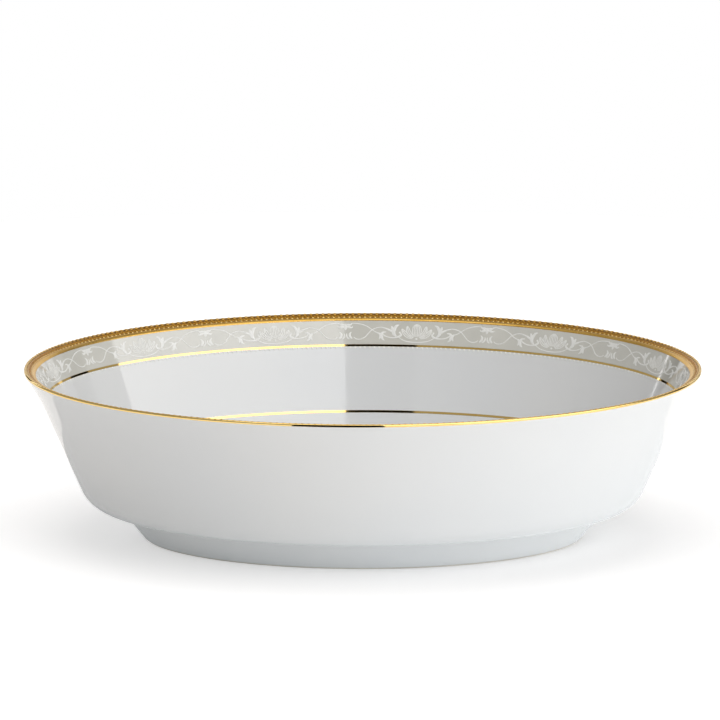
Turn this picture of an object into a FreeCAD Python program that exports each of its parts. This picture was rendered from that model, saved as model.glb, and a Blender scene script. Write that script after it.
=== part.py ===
"""Deep oval serving bowl of glazed porcelain on a luted foot ring, gilded at the rim.

Every section lies in the XZ plane at the end of the bowl and is carried round one oval, the
outer edge of the lip. A place in a section is given as its offset inward from that edge and its
height above the table, so each line of the bowl is a parallel curve of the lip.
"""
import FreeCAD, Part
import math
import os
import Sketcher

doc = FreeCAD.newDocument("oval_serving_bowl")

# Driving dimensions, in millimetres and degrees from the horizontal.
sizes = {
    "half_length": 122.4,       # centre to the glazed edge of the lip, along X
    "half_width": 92.9,         # the same, along Y
    "height": 62.9,             # table to the glazed crest of the lip
    "lip_edge": 1.2,            # crest down to where the outside starts to flare in
    "lip_round": 0.6,
    "flare_drop": 8.6,          # height of the flared stretch of the outside
    "flare_slope": 58.5,
    "outer_slope": 66.5,        # outside of the wall
    "rim_face_run": 4.05,       # width of the gilded face inside the lip
    "rim_face_slope": 27,
    "inner_slope": 64.6,        # inside of the wall
    "inner_round": 1,           # where the rim face turns into the wall
    "well_round": 20,           # where the wall turns into the floor
    "floor_top": 13.2,
    "floor_under": 9.5,         # recess inside the foot ring
    "shoulder_height": 13.3,
    "shoulder_round": 11,
    "shoulder_run": 12.1,       # shoulder in to the crease above the foot
    "shoulder_slope": 11,
    "crease_round": 1.5,        # glaze pooled in the crease
    "foot_slope": 52,           # outside of the foot ring
    "foot_rest": 2.8,           # width of the bare ring that stands on the table
    "foot_lean": 0.6,           # how far the inside of the foot leans in at its top
    "sole_round": 0.6,
    "sole_grind": 0.15,         # ground off the sole, which leaves it flat
    "bare_foot": 0.8,           # height wiped clean of glaze above the table
    "glaze": 0.25,
    "floor_lap": 1.6,           # how far a swept section runs in past the foot ring
    "gilding": 0.15,
    "lip_gold_reach": 0.95,     # how far the gold runs down the outside of the lip
    "lip_gold_lap": 0.1,        # how far it runs on past the round of the lip, inside
    "beading_width": 1,
    "etched_width": 1.2,
    "inner_line_width": 0.85,
    "gold_gap": 0.05,           # bare glaze left between neighbouring bands
    "ground_gap": 0.45,         # from the foot of the rim face to the painted ground
    "ground_width": 9,
    "ground_film": 0.12,
    "relief": 0.2,
    "relief_margin": 0.3,       # plain ground left above and below the relief
    "frieze_line_width": 0.85,
    "dot_row_width": 0.7,
    "well_line_width": 0.95,
    "well_line_gap": 4.9,       # above the start of the round into the floor
    "blossom_lead": 20,         # first blossom, along the frieze from mid-side
}
repeats = 12                    # blossoms round the frieze, with one floret between each two

sheet = doc.addObject("Spreadsheet::Sheet", "Sizes")
for row, (alias, value) in enumerate(sizes.items(), start=1):
    sheet.set("A%d" % row, alias.replace("_", " "))
    sheet.set("B%d" % row, str(value))
    sheet.setAlias("B%d" % row, alias)
doc.recompute()


def measure(expression):
    """The number that an expression stands for."""
    return float(sheet.evalExpression(expression))


# Places are (offset, height) pairs of expressions. A corner is a place with the angles of the
# outward normals of the faces that meet there, turned from the inward direction towards up.
upward = "90"
downward = "270"
outward = "180"
rimNormal = "(90 - Sizes.rim_face_slope)"
innerNormal = "(90 - Sizes.inner_slope)"
flareNormal = "(270 - Sizes.flare_slope)"
outerNormal = "(270 - Sizes.outer_slope)"
shoulderNormal = "(270 - Sizes.shoulder_slope)"
footNormal = "(270 - Sizes.foot_slope)"


def run(fall, slope):
    """Offset covered while a line of this slope falls this far."""
    return "((%s) / tan(%s))" % (fall, slope)


def corner(offset, height, before, after):
    return {"place": (offset, height), "before": before, "after": after}


def sunk(bend, depth):
    """A corner moved square to both of its faces, into the body by depth."""
    middle = "((%s + %s) / 2)" % (bend["before"], bend["after"])
    reach = "((%s) / cos((%s - %s) / 2))" % (depth, bend["before"], bend["after"])
    offset, height = bend["place"]
    return ("(%s - %s * cos(%s))" % (offset, reach, middle),
            "(%s - %s * sin(%s))" % (height, reach, middle))


def along(place, slope, distance, rise="0"):
    """A place down a face from another, lifted square off the face by rise."""
    offset, height = place
    return ("(%s + (%s) * cos(%s) + (%s) * sin(%s))" % (offset, distance, slope, rise, slope),
            "(%s - (%s) * sin(%s) + (%s) * cos(%s))" % (height, distance, slope, rise, slope))


def rounded(place, radius):
    return (place[0], place[1], radius)


# The glazed outline, from the foot up the outside, over the lip and down to the floor.
lipTurn = "(Sizes.lip_round / tan(45 - Sizes.rim_face_slope / 2))"
lipPeak = "(Sizes.height - Sizes.lip_round + %s)" % lipTurn
flareTop = "(Sizes.height - Sizes.lip_edge)"
flareFoot = "(%s - Sizes.flare_drop)" % flareTop
flareIn = run("Sizes.flare_drop", "Sizes.flare_slope")
shoulderIn = "(%s + %s)" % (flareIn, run(flareFoot + " - Sizes.shoulder_height", "Sizes.outer_slope"))
creaseIn = "(%s + Sizes.shoulder_run)" % shoulderIn
creaseHeight = "(Sizes.shoulder_height - Sizes.shoulder_run * tan(Sizes.shoulder_slope))"
soleIn = "(%s + %s)" % (creaseIn, run(creaseHeight, "Sizes.foot_slope"))
soleEnd = "(%s + Sizes.foot_rest)" % soleIn
recessIn = "(%s + %s)" % (creaseIn, run(creaseHeight + " - Sizes.floor_under", "Sizes.shoulder_slope"))
footTop = "(%s + Sizes.foot_lean)" % soleEnd
floorEnd = "(%s + Sizes.glaze + Sizes.floor_lap)" % footTop
rimFoot = "(%s - Sizes.rim_face_run * tan(Sizes.rim_face_slope))" % lipPeak
wallFoot = "(Sizes.rim_face_run + %s)" % run(rimFoot + " - Sizes.floor_top", "Sizes.inner_slope")

lipTop = corner("0", lipPeak, outward, rimNormal)
lipOuter = corner("0", flareTop, flareNormal, outward)
flareBend = corner(flareIn, flareFoot, outerNormal, flareNormal)
shoulder = corner(shoulderIn, "Sizes.shoulder_height", shoulderNormal, outerNormal)
crease = corner(creaseIn, creaseHeight, footNormal, shoulderNormal)
recessBend = corner(recessIn, "Sizes.floor_under", downward, shoulderNormal)
rimBend = corner("Sizes.rim_face_run", rimFoot, rimNormal, innerNormal)
wellBend = corner(wallFoot, "Sizes.floor_top", innerNormal, upward)


def bind(sketch, constraint, expression):
    """Adds a dimension to a sketch and ties it to the sheet."""
    index = sketch.addConstraint(constraint)
    sketch.setExpression("Constraints[%d]" % index, expression)


def attach(body, name, role):
    """A new sketch on one of the body's own origin planes."""
    sketch = body.newObject("Sketcher::SketchObject", name)
    plane = next(item for item in body.Origin.OriginFeatures if item.Role == role)
    sketch.AttachmentSupport = [(plane, "")]
    sketch.MapMode = "FlatFace"
    return sketch


def drawOval(body, name, inset="0"):
    """The lip's oval, or a smaller oval inside it."""
    sketch = attach(body, name, "XY_Plane")
    longAxis = "2 * (Sizes.half_length - (%s))" % inset
    shortAxis = "2 * (Sizes.half_width - (%s))" % inset
    tip = FreeCAD.Vector(measure(longAxis) / 2, 0, 0)
    side = FreeCAD.Vector(0, measure(shortAxis) / 2, 0)
    oval = sketch.addGeometry(Part.Ellipse(tip, side, FreeCAD.Vector(0, 0, 0)))
    sketch.exposeInternalGeometry(oval)
    sketch.addConstraint(Sketcher.Constraint("Coincident", oval, 3, -1, 1))
    sketch.addConstraint(Sketcher.Constraint("Horizontal", oval + 1))
    bind(sketch, Sketcher.Constraint("Distance", oval + 1, 2 * tip.x), longAxis)
    bind(sketch, Sketcher.Constraint("Distance", oval + 2, 2 * side.y), shortAxis)
    return sketch


def pin(sketch, item, end, place, spot):
    """Holds one point of a section at its offset and height."""
    across = "Sizes.half_length - (%s)" % place[0]
    bind(sketch, Sketcher.Constraint("DistanceX", -1, 1, item, end, spot.x), across)
    bind(sketch, Sketcher.Constraint("DistanceY", -1, 1, item, end, spot.y), place[1])


def drawSection(body, name, outline):
    """A closed section of straight lines. A third entry in a place is the radius of its round."""
    sketch = attach(body, name, "XZ_Plane")
    count = len(outline)
    spots = [FreeCAD.Vector(measure("Sizes.half_length - (%s)" % place[0]), measure(place[1]), 0)
             for place in outline]
    rounds = []
    for index, place in enumerate(outline):
        back = (spots[index - 1] - spots[index]).normalize()
        ahead = (spots[(index + 1) % count] - spots[index]).normalize()
        radius = measure(place[2]) if len(place) == 3 else 0
        half = back.getAngle(ahead) / 2
        cut = radius / math.tan(half)
        middle = spots[index] + (back + ahead).normalize() * (radius / math.sin(half) - radius)
        rounds.append((spots[index] + back * cut, middle, spots[index] + ahead * cut))
    lines = [sketch.addGeometry(Part.LineSegment(rounds[index][2], rounds[(index + 1) % count][0]))
             for index in range(count)]
    for index, place in enumerate(outline):
        before = lines[index - 1]
        after = lines[index]
        if len(place) == 2:
            sketch.addConstraint(Sketcher.Constraint("Coincident", before, 2, after, 1))
            pin(sketch, after, 1, place, spots[index])
            continue
        arrive, middle, leave = rounds[index]
        arc = sketch.addGeometry(Part.Arc(arrive, middle, leave))
        first, second = (1, 2) if sketch.getPoint(arc, 1).distanceToPoint(arrive) < 1e-6 else (2, 1)
        bend = sketch.addGeometry(Part.Point(spots[index]), True)
        sketch.addConstraint(Sketcher.Constraint("Tangent", before, 2, arc, first))
        sketch.addConstraint(Sketcher.Constraint("Tangent", arc, second, after, 1))
        sketch.addConstraint(Sketcher.Constraint("PointOnObject", bend, 1, before))
        sketch.addConstraint(Sketcher.Constraint("PointOnObject", bend, 1, after))
        bind(sketch, Sketcher.Constraint("Radius", arc, measure(place[2])), place[2])
        pin(sketch, bend, 1, place, spots[index])
    return sketch


def sweep(label, outline):
    """A body made by carrying one section round the lip's oval."""
    body = doc.addObject("PartDesign::Body", label)
    body.Label = label
    spine = drawOval(body, label + "_path")
    section = drawSection(body, label + "_section", outline)
    pipe = body.newObject("PartDesign::AdditivePipe", label + "_sweep")
    pipe.Profile = section
    pipe.Spine = (spine, ["Edge1"])
    doc.recompute()
    return body


def closeFloor(body, low, high):
    """Fills the middle of a swept body with a flat oval plate."""
    plate = drawOval(body, body.Label + "_plate", "%s - Sizes.floor_lap / 4" % floorEnd)
    plate.setExpression("AttachmentOffset.Base.z", low)
    pad = body.newObject("PartDesign::Pad", body.Label + "_floor")
    pad.Profile = plate
    pad.setExpression("Length", "%s - %s" % (high, low))
    doc.recompute()


def layBand(label, place, slope, start, width, film):
    """A thin band on a straight face, its start and width measured down the face."""
    end = "(%s + %s)" % (start, width)
    return sweep(label, [along(place, slope, start), along(place, slope, start, film),
                         along(place, slope, end, film), along(place, slope, end)])


# The fired body under the glaze, and the foot ring luted on below it.
glaze = "Sizes.glaze"
floorUnder = "(Sizes.floor_under + Sizes.glaze)"
floorTop = "(Sizes.floor_top - Sizes.glaze)"
bodyOutline = [
    (floorEnd, floorUnder),
    sunk(recessBend, glaze),
    rounded(sunk(shoulder, glaze), "Sizes.shoulder_round - Sizes.glaze"),
    sunk(flareBend, glaze),
    rounded(sunk(lipOuter, glaze), "Sizes.lip_round - Sizes.glaze"),
    rounded(sunk(lipTop, glaze), "Sizes.lip_round - Sizes.glaze"),
    rounded(sunk(rimBend, glaze), "Sizes.inner_round + Sizes.glaze"),
    rounded(sunk(wellBend, glaze), "Sizes.well_round + Sizes.glaze"),
    (floorEnd, floorTop),
]
closeFloor(sweep("porcelain_body", bodyOutline), floorUnder, floorTop)

glazedSlope = "Sizes.glaze / sin(Sizes.foot_slope)"
soleDepth = "(0 - Sizes.sole_grind)"
soleOuter = "(%s + %s + %s)" % (soleIn, glazedSlope, run("Sizes.sole_grind", "Sizes.foot_slope"))
soleInner = "(%s - Sizes.foot_lean * Sizes.sole_grind / %s)" % (soleEnd, floorUnder)
footOutline = [
    sunk(crease, glaze),
    rounded((soleOuter, soleDepth), "Sizes.sole_round"),
    rounded((soleInner, soleDepth), "Sizes.sole_round"),
    (footTop, floorUnder),
    sunk(recessBend, glaze),
]
footRing = sweep("foot_ring", footOutline)
groundFlat = footRing.newObject("PartDesign::Pocket", "foot_ring_ground_flat")
groundFlat.Profile = drawOval(footRing, "foot_ring_table")
groundFlat.Reversed = False
groundFlat.setExpression("Length", "2 * Sizes.sole_grind")

# The glaze: one coat from the foot up over the lip and down across the floor, one in the recess.
coatEnd = "(%s + %s)" % (creaseIn, run(creaseHeight + " - Sizes.bare_foot", "Sizes.foot_slope"))
coatOutline = [
    (coatEnd, "Sizes.bare_foot"),
    rounded(crease["place"], "Sizes.crease_round"),
    rounded(shoulder["place"], "Sizes.shoulder_round"),
    flareBend["place"],
    rounded(lipOuter["place"], "Sizes.lip_round"),
    rounded(lipTop["place"], "Sizes.lip_round"),
    rounded(rimBend["place"], "Sizes.inner_round"),
    rounded(wellBend["place"], "Sizes.well_round"),
    (floorEnd, "Sizes.floor_top"),
]
backOfCoat = bodyOutline[:1:-1]
backOfCoat += [sunk(crease, glaze), ("(%s + %s)" % (coatEnd, glazedSlope), "Sizes.bare_foot")]
closeFloor(sweep("glaze_coat", coatOutline + backOfCoat), floorTop, "Sizes.floor_top")

recessStart = "(%s + Sizes.foot_lean * Sizes.bare_foot / %s)" % (soleEnd, floorUnder)
recessOutline = [
    (recessStart, "Sizes.bare_foot"),
    (footTop, floorUnder),
    (floorEnd, floorUnder),
    (floorEnd, "Sizes.floor_under"),
    ("(%s + Sizes.glaze)" % footTop, "Sizes.floor_under"),
    ("(%s + Sizes.glaze)" % recessStart, "Sizes.bare_foot"),
]
closeFloor(sweep("glaze_underside", recessOutline), "Sizes.floor_under", floorUnder)

# Gilding on the lip and on the face inside it.
rimSlope = "Sizes.rim_face_slope"
lipPlace = lipTop["place"]
goldFoot = "(Sizes.height - Sizes.lip_gold_reach)"
lipGoldEnd = "(%s + Sizes.lip_gold_lap)" % lipTurn
sweep("lip_gold_edge", [
    ("0", goldFoot),
    ("0 - Sizes.gilding", goldFoot),
    rounded(sunk(lipTop, "0 - Sizes.gilding"), "Sizes.lip_round + Sizes.gilding"),
    along(lipPlace, rimSlope, lipGoldEnd, "Sizes.gilding"),
    along(lipPlace, rimSlope, lipGoldEnd),
    rounded(lipPlace, "Sizes.lip_round"),
])
bandStart = "(%s + Sizes.gold_gap)" % lipGoldEnd
for label, width in (("gold_band_beading", "Sizes.beading_width"),
                     ("gold_band_etched", "Sizes.etched_width"),
                     ("gold_band_inner_line", "Sizes.inner_line_width")):
    layBand(label, lipPlace, rimSlope, bandStart, width, "Sizes.gilding")
    bandStart = "(%s + %s + Sizes.gold_gap)" % (bandStart, width)

# The frieze below the rim face: painted ground, relief on it, a gold line and a row of dots.
wallSlope = "Sizes.inner_slope"
rimBendPlace = rimBend["place"]
layBand("frieze_ground", rimBendPlace, wallSlope, "Sizes.ground_gap", "Sizes.ground_width",
        "Sizes.ground_film")
lineStart = "(Sizes.ground_gap + Sizes.ground_width + Sizes.gold_gap)"
layBand("frieze_gold_line", rimBendPlace, wallSlope, lineStart, "Sizes.frieze_line_width",
        "Sizes.gilding")
dotStart = "(%s + Sizes.frieze_line_width + Sizes.gold_gap)" % lineStart
layBand("enamel_dot_row", rimBendPlace, wallSlope, dotStart, "Sizes.dot_row_width", "Sizes.relief")
wellTurn = "(Sizes.well_round * tan(Sizes.inner_slope / 2))"
wellLineStart = "(0 - %s - Sizes.well_line_gap - Sizes.well_line_width)" % wellTurn
layBand("well_gold_line", wellBend["place"], wallSlope, wellLineStart, "Sizes.well_line_width",
        "Sizes.gilding")

# The relief is cut from one thin ring laid on the ground, which is not a piece of its own.
reliefStart = "(Sizes.ground_gap + Sizes.relief_margin)"
reliefWidth = "(Sizes.ground_width - 2 * Sizes.relief_margin)"
reliefBase = along(rimBendPlace, wallSlope, "0", "Sizes.ground_film")
reliefBlank = layBand("relief_blank", reliefBase, wallSlope, reliefStart, reliefWidth, "Sizes.relief")


def stationFrames(count, lead, place):
    """Frames spaced evenly along the parallel curve through a place: X along it, Y up the wall."""
    inset = measure(place[0])
    longHalf = measure("Sizes.half_length")
    shortHalf = measure("Sizes.half_width")
    steps = 7200
    step = 2 * math.pi / steps
    lengths = [0.0]
    for index in range(steps):
        turn = (index + 0.5) * step
        speed = math.hypot(longHalf * math.cos(turn), shortHalf * math.sin(turn))
        lengths.append(lengths[-1] + (speed - inset * longHalf * shortHalf / speed ** 2) * step)
    frames = []
    index = 0
    for number in range(count):
        goal = lead + number * lengths[-1] / count
        while lengths[index + 1] < goal:
            index += 1
        turn = (index + (goal - lengths[index]) / (lengths[index + 1] - lengths[index])) * step
        edge = FreeCAD.Vector(longHalf * math.sin(turn), shortHalf * math.cos(turn), 0)
        out = FreeCAD.Vector(shortHalf * math.sin(turn), longHalf * math.cos(turn), 0).normalize()
        rise = FreeCAD.Vector(0, 0, measure(place[1]))
        slope = math.radians(measure(wallSlope))
        up = out * math.cos(slope) + FreeCAD.Vector(0, 0, math.sin(slope))
        face = FreeCAD.Vector(0, 0, math.cos(slope)) - out * math.sin(slope)
        turnTo = FreeCAD.Rotation(up.cross(face), up, face, "ZXY")
        frames.append(FreeCAD.Placement(edge - out * inset + rise, turnTo))
    return frames


def petal(across, upward, halfWidth, halfHeight, lean):
    """An oval outline, its middle across and up from the station, leaning over by degrees."""
    long = FreeCAD.Vector(math.sin(math.radians(lean)), math.cos(math.radians(lean)), 0)
    middle = FreeCAD.Vector(across, upward, 0)
    short = FreeCAD.Vector(long.y, -long.x, 0)
    oval = Part.Ellipse(middle + long * halfHeight, middle + short * halfWidth, middle)
    return Part.Face(Part.Wire([oval.toShape()]))


def stem(start, middle, end, width):
    """A ribbon along the arc through three points."""
    points = [FreeCAD.Vector(across, up, 0) for across, up in (start, middle, end)]
    circle = Part.Arc(*points).toShape().Curve
    sides = []
    for radius in (circle.Radius - width / 2, circle.Radius + width / 2):
        scale = radius / circle.Radius
        sides.append([circle.Center + (point - circle.Center) * scale for point in points])
    inner, outer = sides
    edges = [Part.Arc(*inner).toShape(), Part.makeLine(inner[2], outer[2]),
             Part.Arc(*outer[::-1]).toShape(), Part.makeLine(outer[0], inner[0])]
    return Part.Face(Part.Wire(edges))


def both(shapes):
    """Outlines and their mirror images across the station."""
    flipped = [shape.mirror(FreeCAD.Vector(0, 0, 0), FreeCAD.Vector(1, 0, 0)) for shape in shapes]
    return shapes + flipped


middlePlace = along(reliefBase, wallSlope, "Sizes.ground_gap + Sizes.ground_width / 2")
blossoms = stationFrames(repeats, measure("Sizes.blossom_lead"), middlePlace)
frieze = stationFrames(2 * repeats, measure("Sizes.blossom_lead"), middlePlace)
florets = frieze[1::2]

blossomShapes = [petal(0, 0.9, 1.15, 2.5, 0), petal(0, -2.35, 0.5, 0.5, 0)]
blossomShapes += both([petal(2.55, 0.55, 0.8, 2.2, 24), petal(4.75, 0.15, 0.7, 1.9, 42)])
leafShapes = both([petal(8.1, 0.3, 0.75, 2.6, -20), petal(11.5, -0.6, 0.8, 2.1, 62),
                   petal(14.2, -1.7, 0.7, 1.8, 28)])
floretShapes = [petal(0, 2.55, 0.6, 0.9, 0)] + both([petal(1.75, 3.0, 0.5, 1.05, 55)])
floretShapes += both([petal(1.3, -0.5, 0.4, 1.2, 30), petal(3.2, -1.2, 0.4, 1.1, -25)])
stemShapes = both([stem((5.0, -2.6), (9.2, -3.55), (12.6, -2.9), 0.4)])
stemShapes += [stem((-4.2, -2.9), (0, -3.7), (4.2, -2.9), 0.4)]
bridgeShapes = [stem((-9.2, 0.9), (0, 3.9), (9.2, 0.9), 0.4)]
bridgeShapes += both([stem((9.4, 0.1), (7.4, -2.2), (4.6, -3.1), 0.4)])


# A flat outline has to reach in as far as the frieze curves away at the ends of the bowl.
tightest = measure("Sizes.half_width^2 / Sizes.half_length - %s" % middlePlace[0])


def cutRelief(label, groups):
    """Pieces of the relief ring inside outlines set up at stations on the frieze."""
    tools = []
    for frames, outlines in groups:
        motif = outlines[0].multiFuse(outlines[1:]).removeSplitter()
        reach = motif.BoundBox.XMax
        depth = tightest - math.sqrt(tightest ** 2 - reach ** 2) + 2 * measure("Sizes.relief")
        motif.translate(FreeCAD.Vector(0, 0, -depth))
        block = motif.extrude(FreeCAD.Vector(0, 0, 2 * depth))
        for frame in frames:
            tools.append(block.transformed(frame.toMatrix(), True))
    piece = doc.addObject("Part::Feature", label)
    piece.Label = label
    piece.Shape = reliefBlank.Shape.common(Part.makeCompound(tools))
    piece.Placement = FreeCAD.Placement()


cutRelief("frieze_blossoms", [(blossoms, blossomShapes)])
cutRelief("frieze_leaves", [(blossoms, leafShapes)])
cutRelief("frieze_florets", [(florets, floretShapes)])
cutRelief("frieze_stems", [(blossoms, stemShapes), (florets, bridgeShapes)])

doc.recompute()
faults = [item.Name for item in doc.Objects if "Invalid" in item.State or "Error" in item.State]
pieces = [item for item in doc.Objects
          if item.isDerivedFrom("PartDesign::Body") or item.TypeId == "Part::Feature"]
pieces = [item for item in pieces if item is not reliefBlank]
faults += [item.Label for item in pieces if item.Shape.isNull() or not item.Shape.isValid()]
if faults:
    raise SystemExit("failed: " + ", ".join(faults))

os.makedirs("parts", exist_ok=True)
for piece in pieces:
    piece.Shape.exportStep("parts/%s.step" % piece.Label)
    box = piece.Shape.BoundBox
    print("%-22s %3d solids  %9.2f mm3  Z %6.2f to %6.2f" %
          (piece.Label, len(piece.Shape.Solids), piece.Shape.Volume, box.ZMin, box.ZMax))
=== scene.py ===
import math
import bpy
from mathutils import Euler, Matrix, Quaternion, Vector


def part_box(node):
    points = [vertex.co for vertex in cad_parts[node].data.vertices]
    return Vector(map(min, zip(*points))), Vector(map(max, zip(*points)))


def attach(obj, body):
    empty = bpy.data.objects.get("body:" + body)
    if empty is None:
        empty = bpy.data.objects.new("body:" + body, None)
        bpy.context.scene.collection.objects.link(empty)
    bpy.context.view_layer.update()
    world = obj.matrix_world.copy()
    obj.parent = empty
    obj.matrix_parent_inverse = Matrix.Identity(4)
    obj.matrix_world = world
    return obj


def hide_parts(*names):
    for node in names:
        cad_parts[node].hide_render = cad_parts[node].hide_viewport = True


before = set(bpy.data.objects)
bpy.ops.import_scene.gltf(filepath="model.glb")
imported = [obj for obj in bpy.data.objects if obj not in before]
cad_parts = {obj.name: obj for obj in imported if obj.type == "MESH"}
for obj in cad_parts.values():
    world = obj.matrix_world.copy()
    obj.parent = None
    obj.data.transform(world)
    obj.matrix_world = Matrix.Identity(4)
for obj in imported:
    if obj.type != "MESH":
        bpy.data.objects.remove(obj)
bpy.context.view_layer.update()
print("frame loaded")

mm = 0.001
weldReach = 0.000002
glazeLow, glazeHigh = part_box("glaze_coat")

# The oval of the lip. Every other line of the bowl runs parallel to it.
oval = {
    "Half Length": glazeHigh.x,
    "Half Width": glazeHigh.y,
    "Steps": 600,
}
laySteps = 2880     # straight parts of the line that repeated units are laid along


# Node helpers

def addNode(tree, kind, values=None, **settings):
    node = tree.nodes.new(kind)
    for name, value in settings.items():
        setattr(node, name, value)
    for name, value in (values or {}).items():
        if isinstance(value, bpy.types.NodeSocket):
            tree.links.new(value, node.inputs[name])
        else:
            node.inputs[name].default_value = value
    return node


def maths(tree, operation, first, second=0.0):
    return addNode(tree, "ShaderNodeMath", {0: first, 1: second}, operation=operation).outputs[0]


def vectors(tree, operation, first, second=(0, 0, 0)):
    node = addNode(tree, "ShaderNodeVectorMath", {0: first, 1: second}, operation=operation)
    return node.outputs[0]


def stretch(tree, vector, factor):
    node = addNode(tree, "ShaderNodeVectorMath", {0: vector, "Scale": factor}, operation="SCALE")
    return node.outputs[0]


def combine(tree, across, along, up):
    return addNode(tree, "ShaderNodeCombineXYZ", {0: across, 1: along, 2: up}).outputs[0]


def newTree(name, sockets):
    tree = bpy.data.node_groups.new(name, "GeometryNodeTree")
    for label, kind, default in sockets:
        socket = tree.interface.new_socket(label, in_out="INPUT", socket_type="NodeSocket" + kind)
        if default is not None:
            socket.default_value = default
    tree.interface.new_socket("Geometry", in_out="OUTPUT", socket_type="NodeSocketGeometry")
    return tree


ovalSockets = [
    ("Half Length", "Float", oval["Half Length"]),
    ("Half Width", "Float", oval["Half Width"]),
    ("Steps", "Int", oval["Steps"]),
]


def insetOval(tree, spot, size, inset):
    # a point of the unit circle goes to the lip's oval, then square to it by the inset
    parts = addNode(tree, "ShaderNodeSeparateXYZ", {0: spot}).outputs
    length, width = size["Half Length"], size["Half Width"]
    edge = combine(tree, maths(tree, "MULTIPLY", parts[0], length),
                   maths(tree, "MULTIPLY", parts[1], width), 0.0)
    outward = combine(tree, maths(tree, "MULTIPLY", parts[0], width),
                      maths(tree, "MULTIPLY", parts[1], length), 0.0)
    outward = vectors(tree, "NORMALIZE", outward)
    return vectors(tree, "SUBTRACT", edge, stretch(tree, outward, inset))


def finishTree(tree, mesh, size):
    # smooth shading, except over edges that turn by more than 35 degrees
    mesh = addNode(tree, "GeometryNodeRealizeInstances", {"Geometry": mesh}).outputs[0]
    mesh = addNode(tree, "GeometryNodeSetShadeSmooth", {"Geometry": mesh}).outputs[0]
    turn = addNode(tree, "GeometryNodeInputMeshEdgeAngle").outputs[0]
    sharp = maths(tree, "GREATER_THAN", turn, math.radians(35))
    mesh = addNode(tree, "GeometryNodeSetShadeSmooth", {
        "Geometry": mesh, "Selection": sharp, "Shade Smooth": False}, domain="EDGE").outputs[0]
    mesh = addNode(tree, "GeometryNodeSetMaterial", {
        "Geometry": mesh, "Material": size["Material"]}).outputs[0]
    addNode(tree, "NodeGroupOutput", {"Geometry": mesh})


def buildCarryTree():
    # carries a section round the oval and, for a floor, closes the middle above and below
    tree = newTree("carryRoundOval", ovalSockets + [
        ("Section", "Object", None),
        ("Close Middle", "Bool", False),
        ("Middle Inset", "Float", 0.0),
        ("Middle Top", "Float", 0.0),
        ("Middle Bottom", "Float", 0.0),
        ("Material", "Material", None),
    ])
    size = addNode(tree, "NodeGroupInput").outputs
    ring = addNode(tree, "GeometryNodeCurvePrimitiveCircle", {"Resolution": size["Steps"], "Radius": 1.0})
    spot = addNode(tree, "GeometryNodeInputPosition").outputs[0]
    path = addNode(tree, "GeometryNodeSetPosition", {
        "Geometry": ring.outputs["Curve"], "Position": insetOval(tree, spot, size, 0.0)})
    path = addNode(tree, "GeometryNodeSetCurveNormal", {"Curve": path.outputs[0]}, mode="Z_UP")
    section = addNode(tree, "GeometryNodeObjectInfo", {"Object": size["Section"]})
    wall = addNode(tree, "GeometryNodeCurveToMesh", {
        "Curve": path.outputs[0], "Profile Curve": section.outputs["Geometry"]})
    shapes = [wall.outputs[0]]
    for level, turned in (("Middle Top", False), ("Middle Bottom", True)):
        disc = addNode(tree, "GeometryNodeMeshCircle", {"Vertices": size["Steps"], "Radius": 1.0},
                       fill_type="TRIANGLE_FAN")
        lift = combine(tree, 0.0, 0.0, size[level])
        place = vectors(tree, "ADD", insetOval(tree, spot, size, size["Middle Inset"]), lift)
        disc = addNode(tree, "GeometryNodeSetPosition", {"Geometry": disc.outputs[0], "Position": place})
        if turned:
            disc = addNode(tree, "GeometryNodeFlipFaces", {"Mesh": disc.outputs[0]})
        shown = addNode(tree, "GeometryNodeSwitch", {
            "Switch": size["Close Middle"], "True": disc.outputs[0]}, input_type="GEOMETRY")
        shapes.append(shown.outputs[0])
    joined = addNode(tree, "GeometryNodeJoinGeometry")
    for shape in shapes:
        tree.links.new(shape, joined.inputs[0])
    welded = addNode(tree, "GeometryNodeMergeByDistance", {
        "Geometry": joined.outputs[0], "Distance": weldReach})
    finishTree(tree, welded.outputs[0], size)
    return tree


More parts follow.
